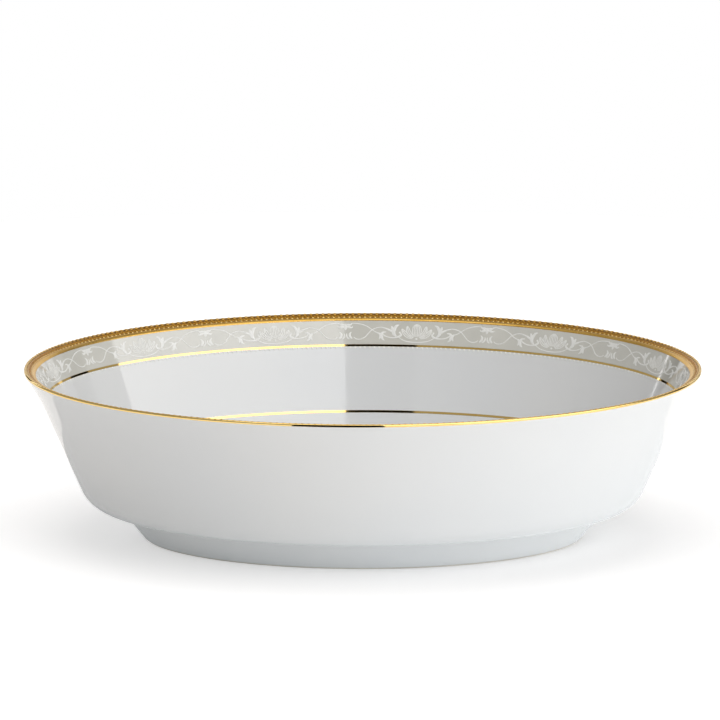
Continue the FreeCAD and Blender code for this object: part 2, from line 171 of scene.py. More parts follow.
def buildLayTree():
    # repeats a flat unit and bends the strip onto a face of the bowl:
    # x runs clockwise from the middle of the far side, y up the face, z off it
    tree = newTree("layRoundOval", ovalSockets + [
        ("Unit", "Object", None),
        ("Count", "Int", 12),
        ("Lead", "Float", 0.0),
        ("Inset", "Float", 0.0),
        ("Height", "Float", 0.0),
        ("Slope", "Float", 0.0),
        ("Size Change", "Float", 0.0),
        ("Seed", "Int", 1),
        ("Material", "Material", None),
    ])
    size = addNode(tree, "NodeGroupInput").outputs
    ring = addNode(tree, "GeometryNodeCurvePrimitiveCircle", {"Resolution": laySteps, "Radius": 1.0})
    spot = addNode(tree, "GeometryNodeInputPosition").outputs[0]
    path = addNode(tree, "GeometryNodeSetPosition", {
        "Geometry": ring.outputs["Curve"], "Position": insetOval(tree, spot, size, size["Inset"])})
    path = path.outputs[0]
    length = addNode(tree, "GeometryNodeCurveLength", {"Curve": path}).outputs[0]
    pitch = maths(tree, "DIVIDE", length, size["Count"])
    row = addNode(tree, "GeometryNodeMeshLine", {
        "Count": size["Count"], "Start Location": combine(tree, size["Lead"], 0.0, 0.0),
        "Offset": combine(tree, pitch, 0.0, 0.0)})
    unit = addNode(tree, "GeometryNodeObjectInfo", {"Object": size["Unit"]})
    least = maths(tree, "SUBTRACT", 1.0, size["Size Change"])
    most = maths(tree, "ADD", 1.0, size["Size Change"])
    scale = addNode(tree, "FunctionNodeRandomValue", {2: least, 3: most, "Seed": size["Seed"]})
    copies = addNode(tree, "GeometryNodeInstanceOnPoints", {
        "Points": row.outputs[0], "Instance": unit.outputs["Geometry"], "Scale": scale.outputs[1]})
    strip = addNode(tree, "GeometryNodeRealizeInstances", {"Geometry": copies.outputs[0]})
    flat = addNode(tree, "ShaderNodeSeparateXYZ", {0: spot}).outputs
    quarter = maths(tree, "DIVIDE", length, 4.0)
    back = maths(tree, "SUBTRACT", quarter, flat[0])
    reach = maths(tree, "FLOORED_MODULO", back, length)
    sample = addNode(tree, "GeometryNodeSampleCurve", {"Curves": path, "Length": reach}, mode="LENGTH",
                     use_all_curves=True)
    inward = vectors(tree, "CROSS_PRODUCT", (0, 0, 1), sample.outputs["Tangent"])
    inward = vectors(tree, "NORMALIZE", inward)
    cosine = maths(tree, "COSINE", size["Slope"])
    sine = maths(tree, "SINE", size["Slope"])
    along = maths(tree, "SUBTRACT", maths(tree, "MULTIPLY", flat[2], sine),
                  maths(tree, "MULTIPLY", flat[1], cosine))
    rise = maths(tree, "ADD", maths(tree, "MULTIPLY", flat[1], sine),
                 maths(tree, "MULTIPLY", flat[2], cosine))
    place = vectors(tree, "ADD", sample.outputs["Position"], stretch(tree, inward, along))
    place = vectors(tree, "ADD", place, combine(tree, 0.0, 0.0, maths(tree, "ADD", rise, size["Height"])))
    bent = addNode(tree, "GeometryNodeSetPosition", {"Geometry": strip.outputs[0], "Position": place})
    finishTree(tree, bent.outputs[0], size)
    return tree


carryTree = buildCarryTree()
layTree = buildLayTree()
collection = bpy.context.scene.collection


def makePiece(name, tree, values, nodes):
    # runs a tree once and keeps its result as a plain mesh
    holder = bpy.data.objects.new(name + "Maker", bpy.data.meshes.new(name + "Maker"))
    collection.objects.link(holder)
    modifier = holder.modifiers.new(name, "NODES")
    modifier.node_group = tree
    sockets = {item.name: item.identifier for item in tree.interface.items_tree
               if item.in_out == "INPUT"}
    for label, value in {**oval, **values}.items():
        modifier[sockets[label]] = value
    graph = bpy.context.evaluated_depsgraph_get()
    mesh = bpy.data.meshes.new_from_object(holder.evaluated_get(graph), depsgraph=graph)
    mesh.name = name
    if mesh.materials[0] is None:   # the empty slot that joined shapes bring
        mesh.materials.pop(index=0)
    bpy.data.objects.remove(holder)
    piece = bpy.data.objects.new(name, mesh)
    collection.objects.link(piece)
    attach(piece, "root")
    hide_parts(*nodes)
    print("%s: %d faces" % (name, len(mesh.polygons)))


# Sections. A corner is (offset inward from the lip, height) in millimetres, with a radius if rounded.

def tan(degrees):
    return math.tan(math.radians(degrees))


def shifted(place, before, after, depth):
    # a corner moved square to its two faces, whose outward normals are given in degrees
    middle = math.radians((before + after) / 2)
    reach = depth / math.cos(math.radians(before - after) / 2)
    return (place[0] - reach * math.cos(middle), place[1] - reach * math.sin(middle))


def slide(place, slope, distance, rise=0.0):
    # down a face from a place, and off it by rise
    angle = math.radians(slope)
    return (place[0] + distance * math.cos(angle) + rise * math.sin(angle),
            place[1] - distance * math.sin(angle) + rise * math.cos(angle))


def roundedPath(corners, closed=False, longest=2.4, bend=5):
    # rounds the corners in steps of about bend degrees and parts straight runs longer than longest
    spots = [Vector(corner[:2]) for corner in corners]
    count = len(corners)
    ends = []
    for index, corner in enumerate(corners):
        here = spots[index]
        if len(corner) < 3:
            ends.append([here])
            continue
        back = (spots[index - 1] - here).normalized()
        ahead = (spots[(index + 1) % count] - here).normalized()
        half = back.angle(ahead) / 2
        centre = here + (back + ahead).normalized() * (corner[2] / math.sin(half))
        start = here + back * (corner[2] / math.tan(half)) - centre
        stop = here + ahead * (corner[2] / math.tan(half)) - centre
        steps = max(2, round(math.degrees(math.pi - 2 * half) / bend))
        sweep = start.angle_signed(stop)
        turn = [-sweep * step / steps for step in range(steps + 1)]
        ends.append([centre + Vector((start.x * math.cos(angle) - start.y * math.sin(angle),
                                      start.x * math.sin(angle) + start.y * math.cos(angle)))
                     for angle in turn])
    points = []
    for index in range(count):
        points += ends[index]
        if index == count - 1 and not closed:
            break
        start, stop = ends[index][-1], ends[(index + 1) % count][0]
        parts = max(1, math.ceil((stop - start).length / longest))
        points += [start.lerp(stop, part / parts) for part in range(1, parts)]
    return points


def sectionCurve(name, points, closed):
    # the sweep lays the section's x along the outward normal and its y downwards,
    # and its faces look outwards when the section runs the other way round
    curve = bpy.data.curves.new(name, "CURVE")
    spline = curve.splines.new("POLY")
    spline.points.add(len(points) - 1)
    for point, place in zip(spline.points, reversed(points)):
        point.co = (-place.x * mm, -place.y * mm, 0, 1)
    spline.use_cyclic_u = closed
    section = bpy.data.objects.new(name, curve)
    collection.objects.link(section)
    section.hide_render = True
    return section


def carry(name, points, closed, material, nodes, middle=None):
    section = sectionCurve(name + "Section", points, closed)
    values = {"Section": section, "Material": material, **(middle or {})}
    makePiece(name, carryTree, values, nodes)
    bpy.data.objects.remove(section)


def lay(name, unit, material, nodes, slot, **values):
    labels = {"count": "Count", "lead": "Lead", "inset": "Inset", "height": "Height", "slope": "Slope",
              "sizeChange": "Size Change", "seed": "Seed"}
    values = {labels[key]: value for key, value in values.items()}
    makePiece(name, layTree, {"Unit": unit, "Material": material, **values}, nodes)
    bpy.data.objects.remove(unit)


# Shared effects for the materials

def newGroup(name, inputs, outputs):
    group = bpy.data.node_groups.new(name, "ShaderNodeTree")
    for label, kind, default in inputs:
        socket = group.interface.new_socket(label, in_out="INPUT", socket_type="NodeSocket" + kind)
        socket.default_value = default
    for label, kind in outputs:
        group.interface.new_socket(label, in_out="OUTPUT", socket_type="NodeSocket" + kind)
    return group, group.nodes.new("NodeGroupInput").outputs


def spread(tree, value, low, high):
    return addNode(tree, "ShaderNodeMapRange", {
        "Value": value, "From Min": 0.3, "From Max": 0.7, "To Min": low, "To Max": high}).outputs[0]


def buildTonalDrift():
    # a colour that wanders slowly towards a second one over the surface
    group, given = newGroup("tonalDrift", [
        ("Color", "Color", (1, 1, 1, 1)), ("Far Color", "Color", (1, 1, 1, 1)),
        ("Patch Size", "Float", 0.05), ("Seed", "Float", 0.0)], [("Color", "Color")])
    where = addNode(group, "ShaderNodeTexCoord").outputs["Object"]
    shift = combine(group, given["Seed"], given["Seed"], given["Seed"])
    field = addNode(group, "ShaderNodeTexNoise", {
        "Vector": vectors(group, "ADD", where, shift),
        "Scale": maths(group, "DIVIDE", 1.0, given["Patch Size"]), "Detail": 2.0})
    mixed = addNode(group, "ShaderNodeMix", {
        "Factor": spread(group, field.outputs["Fac"], 0.0, 1.0), 6: given["Color"], 7: given["Far Color"]},
        data_type="RGBA")
    addNode(group, "NodeGroupOutput", {"Color": mixed.outputs[2]})
    return group


def buildSurfaceGrain():
    # fine unevenness, as a height for bump and a value for roughness
    group, given = newGroup("surfaceGrain", [
        ("Grain Size", "Float", 0.001), ("Wave Size", "Float", 0.02), ("Wave Share", "Float", 0.5),
        ("Low", "Float", 0.0), ("High", "Float", 1.0)], [("Height", "Float"), ("Roughness", "Float")])
    where = addNode(group, "ShaderNodeTexCoord").outputs["Object"]
    fields = []
    for label, detail in (("Grain Size", 4.0), ("Wave Size", 1.0)):
        field = addNode(group, "ShaderNodeTexNoise", {
            "Vector": where, "Scale": maths(group, "DIVIDE", 1.0, given[label]), "Detail": detail})
        fields.append(field.outputs["Fac"])
    height = addNode(group, "ShaderNodeMix", {"Factor": given["Wave Share"], 2: fields[0], 3: fields[1]})
    rough = addNode(group, "ShaderNodeMapRange", {
        "Value": height.outputs[0], "From Min": 0.3, "From Max": 0.7,
        "To Min": given["Low"], "To Max": given["High"]})
    addNode(group, "NodeGroupOutput", {"Height": height.outputs[0], "Roughness": rough.outputs[0]})
    return group


tonalDrift = buildTonalDrift()
surfaceGrain = buildSurfaceGrain()

finishes = {
    "whiteGlaze": {
        "colors": ((0.80, 0.80, 0.79), (0.77, 0.78, 0.785)), "patch": 0.09,
        "rough": (0.05, 0.09), "grain": 0.004, "wave": 0.03, "waveShare": 0.8, "bump": 0.00012,
        "shader": {"IOR": 1.52, "Coat Weight": 0.5, "Coat Roughness": 0.02},
    },
    "bareBiscuit": {
        "colors": ((0.72, 0.69, 0.63), (0.64, 0.61, 0.56)), "patch": 0.02,
        "rough": (0.7, 0.9), "grain": 0.0006, "wave": 0.006, "waveShare": 0.3, "bump": 0.00005,
        "shader": {"IOR": 1.5, "Specular IOR Level": 0.3},
    },
    "burnishedGold": {
        "colors": ((0.95, 0.70, 0.28), (0.92, 0.64, 0.22)), "patch": 0.012,
        "rough": (0.03, 0.06), "grain": 0.0008, "wave": 0.01, "waveShare": 0.8, "bump": 0.000002,
        "shader": {"Metallic": 1.0},
    },
    "etchedGold": {
        "colors": ((0.60, 0.30, 0.036), (0.49, 0.225, 0.022)), "patch": 0.01,
        "rough": (0.2, 0.34), "grain": 0.0003, "wave": 0.004, "waveShare": 0.3, "bump": 0.00003,
        "shader": {"Metallic": 1.0},
    },
    "satinGold": {
        "colors": ((0.80, 0.50, 0.13), (0.72, 0.42, 0.085)), "patch": 0.01,
        "rough": (0.24, 0.34), "grain": 0.0003, "wave": 0.004, "waveShare": 0.3, "bump": 0.00001,
        "shader": {"Metallic": 1.0},
    },
    # gold under the rope cells, painted very dark: painted shade in the gaps between the cells
    "shadedGrooveGold": {
        "colors": ((0.28, 0.12, 0.016), (0.22, 0.09, 0.012)), "patch": 0.01,
        "rough": (0.3, 0.45), "grain": 0.0003, "wave": 0.004, "waveShare": 0.3, "bump": 0.00003,
        "shader": {"Metallic": 1.0},
    },
    "greigeGround": {
        "colors": ((0.685, 0.67, 0.61), (0.63, 0.62, 0.565)), "patch": 0.012,
        "rough": (0.06, 0.12), "grain": 0.0007, "wave": 0.012, "waveShare": 0.7, "bump": 0.00001,
        "shader": {"IOR": 1.5, "Coat Weight": 1.0, "Coat Roughness": 0.04},
    },
    "raisedEnamel": {
        "colors": ((0.90, 0.895, 0.86), (0.86, 0.855, 0.82)), "patch": 0.01,
        "rough": (0.08, 0.16), "grain": 0.0005, "wave": 0.004, "waveShare": 0.5, "bump": 0.00001,
        "shader": {"IOR": 1.5, "Coat Weight": 0.4, "Coat Roughness": 0.05},
    },
}


def buildMaterial(name, finish):
    material = bpy.data.materials.new(name)
    material.use_nodes = True
    tree = material.node_tree
    tree.nodes.clear()
    shader = addNode(tree, "ShaderNodeBsdfPrincipled", finish["shader"])
    near, far = ((*color, 1) for color in finish["colors"])
    drift = addNode(tree, "ShaderNodeGroup", node_tree=tonalDrift)
    drift.inputs["Color"].default_value = near
    drift.inputs["Far Color"].default_value = far
    drift.inputs["Patch Size"].default_value = finish["patch"]
    tree.links.new(drift.outputs["Color"], shader.inputs["Base Color"])
    grain = addNode(tree, "ShaderNodeGroup", node_tree=surfaceGrain)
    low, high = finish["rough"]
    given = {"Grain Size": finish["grain"], "Wave Size": finish["wave"],
             "Wave Share": finish["waveShare"], "Low": low, "High": high}
    for label, value in given.items():
        grain.inputs[label].default_value = value
    tree.links.new(grain.outputs["Roughness"], shader.inputs["Roughness"])
    bump = addNode(tree, "ShaderNodeBump", {"Height": grain.outputs["Height"], "Distance": finish["bump"]})
    tree.links.new(bump.outputs[0], shader.inputs["Normal"])
    addNode(tree, "ShaderNodeOutputMaterial", {"Surface": shader.outputs[0]})
    return material


materials = {name: buildMaterial(name, finish) for name, finish in finishes.items()}
print("materials made")

# The bowl's own section
bowl = {
    "crest": glazeHigh.z / mm,
    "lipEdge": 1.2,
    "lipRound": 0.6,
    "flareDrop": 8.6,
    "flareSlope": 58.5,
    "flareRound": 60,
    "outerSlope": 66.5,
    "rimRun": 4.05,
    "rimSlope": 27,
    "innerSlope": 64.6,
    "innerRound": 1.0,
    "wellRound": 20,
    "floorTop": 13.2,
    "floorUnder": 9.5,
    "shoulderHeight": 13.3,
    "shoulderRound": 11,
    "shoulderRun": 12.1,
    "shoulderSlope": 11,
    "creaseRound": 1.5,
    "footSlope": 52,
    "footRest": 2.8,
    "footLean": 0.6,
    "soleRound": 0.6,
    "bareFoot": 0.8,
    "recessRound": 0.5,
    "glaze": 0.25,
    "floorLap": 1.6,
}


flareTop = bowl["crest"] - bowl["lipEdge"]
flareFoot = flareTop - bowl["flareDrop"]
flareIn = bowl["flareDrop"] / tan(bowl["flareSlope"])
shoulderIn = flareIn + (flareFoot - bowl["shoulderHeight"]) / tan(bowl["outerSlope"])
creaseIn = shoulderIn + bowl["shoulderRun"]
creaseHeight = bowl["shoulderHeight"] - bowl["shoulderRun"] * tan(bowl["shoulderSlope"])
soleIn = creaseIn + creaseHeight / tan(bowl["footSlope"])
soleEnd = soleIn + bowl["footRest"]
footTop = soleEnd + bowl["footLean"]
floorEnd = footTop + bowl["glaze"] + bowl["floorLap"]
recessIn = creaseIn + (creaseHeight - bowl["floorUnder"]) / tan(bowl["shoulderSlope"])
rimSlope, wallSlope = bowl["rimSlope"], bowl["innerSlope"]
lipTurn = bowl["lipRound"] / tan(45 - rimSlope / 2)
lipPeak = bowl["crest"] - bowl["lipRound"] + lipTurn
rimFoot = lipPeak - bowl["rimRun"] * tan(rimSlope)
wallFoot = bowl["rimRun"] + (rimFoot - bowl["floorTop"]) / tan(wallSlope)

lipPlace = (0.0, lipPeak)
rimPlace = (bowl["rimRun"], rimFoot)
wellPlace = (wallFoot, bowl["floorTop"])
coatEnd = creaseIn + (creaseHeight - bowl["bareFoot"]) / tan(bowl["footSlope"])
backStep = bowl["glaze"] / math.sin(math.radians(bowl["footSlope"]))

# outward normals, in degrees from the inward direction towards up
rimNormal = 90 - rimSlope
innerNormal = 90 - wallSlope
flareNormal = 270 - bowl["flareSlope"]
outerNormal = 270 - bowl["outerSlope"]
shoulderNormal = 270 - bowl["shoulderSlope"]
footNormal = 270 - bowl["footSlope"]

glazed = [
    (coatEnd, bowl["bareFoot"]),
    (creaseIn, creaseHeight, bowl["creaseRound"]),
    (shoulderIn, bowl["shoulderHeight"], bowl["shoulderRound"]),
    (flareIn, flareFoot, bowl["flareRound"]),
    (0.0, flareTop, bowl["lipRound"]),
    (*lipPlace, bowl["lipRound"]),
    (*rimPlace, bowl["innerRound"]),
    (*wellPlace, bowl["wellRound"]),
    (floorEnd, bowl["floorTop"]),
]
depth = bowl["glaze"]
fired = [
    (floorEnd, bowl["floorTop"] - depth),
    (*shifted(wellPlace, innerNormal, 90, depth), bowl["wellRound"] + depth),
    (*shifted(rimPlace, rimNormal, innerNormal, depth), bowl["innerRound"] + depth),
    (*shifted(lipPlace, 180, rimNormal, depth), bowl["lipRound"] - depth),
    (*shifted((0.0, flareTop), flareNormal, 180, depth), bowl["lipRound"] - depth),
    shifted((flareIn, flareFoot), outerNormal, flareNormal, depth),
    (*shifted((shoulderIn, bowl["shoulderHeight"]), shoulderNormal, outerNormal, depth),
     bowl["shoulderRound"] - depth),
    shifted((creaseIn, creaseHeight), footNormal, shoulderNormal, depth),
    (coatEnd + backStep, bowl["bareFoot"]),
]
coat = roundedPath(fired, longest=30, bend=12) + roundedPath(glazed)
carry("whiteGlazeCoat", coat, False, materials["whiteGlaze"], ["glaze_coat"], {
    "Close Middle": True, "Middle Inset": floorEnd * mm, "Middle Top": bowl["floorTop"] * mm,
    "Middle Bottom": (bowl["floorTop"] - depth) * mm})


# Underside glaze and the foot ring, bare where it stands

recessStart = soleEnd + bowl["footLean"] * bowl["bareFoot"] / (bowl["floorUnder"] + depth)
recess = [
    (floorEnd, bowl["floorUnder"] + depth),
    (footTop, bowl["floorUnder"] + depth),
    (recessStart, bowl["bareFoot"]),
    (recessStart + depth, bowl["bareFoot"]),
    (footTop + depth, bowl["floorUnder"], bowl["recessRound"]),
    (floorEnd, bowl["floorUnder"]),
]
carry("undersideGlaze", roundedPath(recess)[::-1], False, materials["whiteGlaze"],
      ["glaze_underside"], {
          "Close Middle": True, "Middle Inset": floorEnd * mm,
          "Middle Top": (bowl["floorUnder"] + depth) * mm, "Middle Bottom": bowl["floorUnder"] * mm})

foot = [
    shifted((creaseIn, creaseHeight), footNormal, shoulderNormal, depth),
    (soleIn + backStep, 0.0, bowl["soleRound"]),
    (soleEnd, 0.0, bowl["soleRound"]),
    (footTop, bowl["floorUnder"] + depth),
    shifted((recessIn, bowl["floorUnder"]), 270, shoulderNormal, depth),
]
carry("footRing", roundedPath(foot, closed=True)[::-1], True, materials["bareBiscuit"],
      ["foot_ring"])

# Gilding. Widths are measured down the face that a band lies on, in millimetres.

gilding = {
    "sunk": 0.03,           # how far each film reaches into the glaze
    "lipFilm": 0.025,
    "lipReach": 0.95,
    "lipLap": 0.02,
    "gap": 0.02,
    "bandFilm": 0.03,
    "bead": 0.6,
    "etched": 1.75,
    "innerLine": {"film": 0.06, "crown": 0.05, "ease": 0.08, "crest": 0.35, "reach": 0.43, "edge": 0.05},
    "groundGap": 0.45,
    "ground": 9.0,
    "groundFilm": 0.05,
    "lineFilm": 0.05,
    "friezeLine": 0.85,
    "dots": 0.7,
    "wellLine": 0.95,
    "wellLineGap": 4.9,
}
sunk = gilding["sunk"]


def band(name, place, slope, start, width, film, material, nodes):
    # a thin band with eased edges
    ease = 0.8 * film
    end = start + width
    outline = [
        slide(place, slope, start),
        slide(place, slope, start + ease, film),
        slide(place, slope, end - ease, film),
        slide(place, slope, end),
        slide(place, slope, end, -sunk),
        slide(place, slope, start, -sunk),
    ]
    carry(name, roundedPath(outline, closed=True), True, material, nodes)


lipFilm = gilding["lipFilm"]
goldFoot = bowl["crest"] - gilding["lipReach"]
lipGoldEnd = lipTurn + gilding["lipLap"]
lipGold = [
    (0.0, goldFoot),
    (-lipFilm, goldFoot + lipFilm),
    (*shifted(lipPlace, 180, rimNormal, -lipFilm), bowl["lipRound"] + lipFilm),
    slide(lipPlace, rimSlope, lipGoldEnd, lipFilm),
    slide(lipPlace, rimSlope, lipGoldEnd, -sunk),
    (*shifted(lipPlace, 180, rimNormal, sunk), bowl["lipRound"] - sunk),
    (sunk, goldFoot),
]
carry("lipGold", roundedPath(lipGold, closed=True), True, materials["burnishedGold"],
      ["lip_gold_edge"])

beadStart = lipGoldEnd + gilding["gap"]
etchedStart = beadStart + gilding["bead"] + gilding["gap"]
lineStart = etchedStart + gilding["etched"] + gilding["gap"]
# the beading ground's dark gold is painted shade between the rope cells laid over it
band("beadingGround", lipPlace, rimSlope, beadStart, gilding["bead"], gilding["bandFilm"],
     materials["shadedGrooveGold"], ["gold_band_beading"])
band("etchedGround", lipPlace, rimSlope, etchedStart, gilding["etched"], gilding["bandFilm"],
     materials["etchedGold"], ["gold_band_etched"])

# the inner line turns over the corner of the rim and ends on the wall
line = gilding["innerLine"]
film, reach = line["film"], line["reach"]
turnedLine = [
    slide(lipPlace, rimSlope, lineStart),
    slide(lipPlace, rimSlope, lineStart + line["ease"], film),
    slide(lipPlace, rimSlope, lineStart + line["crest"], film + line["crown"]),
    (*shifted(rimPlace, rimNormal, innerNormal, -film), bowl["innerRound"] + film),
    slide(rimPlace, wallSlope, reach - line["edge"], film),
    slide(rimPlace, wallSlope, reach),
    slide(rimPlace, wallSlope, reach, -sunk),
    (*shifted(rimPlace, rimNormal, innerNormal, sunk), bowl["innerRound"] - sunk),
    slide(lipPlace, rimSlope, lineStart, -sunk),
]
carry("innerGoldLine", roundedPath(turnedLine, closed=True), True, materials["satinGold"],
      ["gold_band_inner_line"])
band("friezeGround", rimPlace, wallSlope, gilding["groundGap"], gilding["ground"], gilding["groundFilm"],
     materials["greigeGround"], ["frieze_ground"])
friezeLineStart = gilding["groundGap"] + gilding["ground"] + gilding["gap"]
band("friezeGoldLine", rimPlace, wallSlope, friezeLineStart, gilding["friezeLine"], gilding["lineFilm"],
     materials["burnishedGold"], ["frieze_gold_line"])
wellTurn = bowl["wellRound"] * tan(wallSlope / 2)
wellLineStart = -wellTurn - gilding["wellLineGap"] - gilding["wellLine"]
band("wellGoldLine", wellPlace, wallSlope, wellLineStart, gilding["wellLine"], gilding["lineFilm"],
     materials["burnishedGold"], ["well_gold_line"])
print("bowl and bands made")


# Units that repeat round the rim and the frieze: x along it, y up the face, z off it, in millimetres

def unitObject(name, points, faces):
    mesh = bpy.data.meshes.new(name)
    mesh.from_pydata([(x * mm, y * mm, z * mm) for x, y, z in points], [], faces)
    unit = bpy.data.objects.new(name, mesh)
    collection.objects.link(unit)
    return unit


def dome(name, across, along, height, lean=0.0, square=1.0, sides=8, sunk=0.03):
    # a low pad; a square value under one fills out its corners
    points, faces = [], []
    rings = ((1.0, -sunk), (1.0, 0.25 * height), (0.78, 0.72 * height), (0.4, 0.95 * height))
    tilt = math.radians(lean)
    for reach, rise in rings:
        for side in range(sides):
            turn = 2 * math.pi * (side + 0.5) / sides
            x = math.copysign(abs(math.cos(turn)) ** square, math.cos(turn)) * reach * across / 2
            y = math.copysign(abs(math.sin(turn)) ** square, math.sin(turn)) * reach * along / 2
            points.append((x * math.cos(tilt) + y * math.sin(tilt),
                           y * math.cos(tilt) - x * math.sin(tilt), rise))
    for ring in range(len(rings) - 1):
        for side in range(sides):
            low, high = ring * sides, (ring + 1) * sides
            after = (side + 1) % sides
            faces.append((low + side, low + after, high + after, high + side))
    top = len(points)
    points.append((0.0, 0.0, height))
    last = (len(rings) - 1) * sides
    faces += [(last + side, last + (side + 1) % sides, top) for side in range(sides)]
    faces.append(tuple(reversed(range(sides))))
    return unitObject(name, points, faces)


def smoothRun(marks, parts):
    # a smooth line through marks, each with as many numbers as the others
    ends = [marks[0]] + list(marks) + [marks[-1]]
    line = []
    for index in range(1, len(ends) - 2):
        before, start, stop, after = ends[index - 1:index + 3]
        for part in range(parts):
            t = part / parts
            line.append([0.5 * (2 * b + (c - a) * t + (2 * a - 5 * b + 4 * c - d) * t ** 2
                                + (3 * b - a - 3 * c + d) * t ** 3)
                         for a, b, c, d in zip(before, start, stop, after)])
    return line + [list(marks[-1])]


def strokes(name, lines, height, parts=5, sides=6, sunk=0.06):
    # piped lines of enamel; a mark is (along, up, width), and a line stands highest where it is widest
    points, faces = [], []
    for marks in lines:
        run = smoothRun(marks, parts)
        start = len(points)
        widest = max(mark[2] for mark in run)
        for index, (x, y, width) in enumerate(run):
            near, far = run[max(index - 1, 0)], run[min(index + 1, len(run) - 1)]
            heading = Vector((far[0] - near[0], far[1] - near[1])).normalized()
            width = max(width, 0.05)
            crest = height * min(1.0, (width / 0.5)) * (0.55 + 0.45 * width / widest)
            for side in range(sides + 1):
                turn = math.pi * side / sides
                reach = math.cos(turn) * width / 2
                rise = crest * math.sin(turn) if 0 < side < sides else -sunk
                points.append((x + heading.y * reach, y - heading.x * reach, rise))
        ring = sides + 1
        for index in range(len(run) - 1):
            low = start + index * ring
            for side in range(ring):
                after = (side + 1) % ring
                faces.append((low + side, low + ring + side, low + ring + after, low + after))
        faces.append(tuple(start + side for side in range(ring)))
        last = start + (len(run) - 1) * ring
        faces.append(tuple(last + side for side in reversed(range(ring))))
    return unitObject(name, points, faces)


def mirrored(lines):
    return lines + [[(-x, y, width) for x, y, width in line] for line in lines]


def petal(foot, tip, belly, flutes, width, curl=0.0):
    # flutes fan out from the foot, bow round the belly and meet again at the tip
    axis = Vector(tip) - Vector(foot)
    side = Vector((axis.y, -axis.x)).normalized()
    shape = [(0.0, 0.3, 0.5), (0.25, 0.85, 0.9), (0.5, 1.0, 1.0), (0.75, 0.86, 1.0), (0.93, 0.45, 0.8),
             (1.0, 0.1, 0.4)]
    lines = []
    for flute in range(flutes):
        share = 2 * flute / (flutes - 1) - 1
        marks = []
        for reach, bow, thick in shape:
            shift = share * belly * bow + curl * math.sin(math.pi * reach)
            spot = Vector(foot) + axis * reach + side * shift
            marks.append((spot.x, spot.y, width * thick))
        lines.append(marks)
    return lines


# Rim relief: rope cells at the lip, slanted strokes and a pin-bead row inside them,
# and the row of enamel dots at the foot of the frieze

rimWork = {
    "ropeCount": 300, "ropeWide": 1.35, "ropeLong": 1.3, "ropeHigh": 0.2, "ropeLean": 22,
    "ropeOffset": 0.86, "ropeBase": 62.76, "ropeSlope": 15, "ropeSunk": 0.2,
    "strokeCount": 600, "strokeWide": 0.6, "strokeLong": 1.25, "strokeHigh": 0.12, "strokeLean": -40,
    "strokePlace": 0.7,     # down the etched band, to the middle of a stroke
    "pinCount": 340, "pinWide": 0.8, "pinHigh": 0.14,
    "pinMargin": 0.35,      # from the middle of a pin bead to the foot of the etched band
    "dotCount": 350, "dotWide": 0.9, "dotHigh": 0.17,
}


def onRim(distance):
    offset, height = slide(lipPlace, rimSlope, distance)
    return {"inset": offset * mm, "height": height * mm, "slope": math.radians(rimSlope)}


def onWall(distance, rise=0.0):
    offset, height = slide(rimPlace, wallSlope, distance, rise)
    return {"inset": offset * mm, "height": height * mm, "slope": math.radians(wallSlope)}


rope = dome("ropeCell", rimWork["ropeWide"], rimWork["ropeLong"], rimWork["ropeHigh"],
            lean=rimWork["ropeLean"], square=0.7, sunk=rimWork["ropeSunk"])
lay("ropeBeading", rope, materials["satinGold"], ["gold_band_beading"], "etched_gold",
    count=rimWork["ropeCount"], lead=0.0, sizeChange=0.03, seed=3, inset=rimWork["ropeOffset"] * mm,
    height=rimWork["ropeBase"] * mm, slope=math.radians(rimWork["ropeSlope"]))
stroke = dome("slantStroke", rimWork["strokeWide"], rimWork["strokeLong"], rimWork["strokeHigh"],
              lean=rimWork["strokeLean"], square=0.8)
lay("etchedStrokes", stroke, materials["etchedGold"], ["gold_band_etched"], "etched_gold",
    count=rimWork["strokeCount"], lead=0.0, sizeChange=0.06, seed=5,
    **onRim(etchedStart + rimWork["strokePlace"]))
pin = dome("pinBead", rimWork["pinWide"], rimWork["pinWide"], rimWork["pinHigh"], sides=6)
lay("pinBeads", pin, materials["burnishedGold"], ["gold_band_etched"], "burnished_gold",
    count=rimWork["pinCount"], lead=0.0, sizeChange=0.05, seed=7,
    **onRim(etchedStart + gilding["etched"] - rimWork["pinMargin"]))
dot = dome("enamelDot", rimWork["dotWide"], rimWork["dotWide"], rimWork["dotHigh"])
dotPlace = friezeLineStart + gilding["friezeLine"] + gilding["gap"] + gilding["dots"] / 2
lay("enamelDots", dot, materials["raisedEnamel"], ["enamel_dot_row"], "raised_enamel",
    count=rimWork["dotCount"], lead=0.0, sizeChange=0.04, seed=11, **onWall(dotPlace))
print("rim relief made")

# Frieze: lotus blossoms between leaves, hanging florets between them, and crossing stems

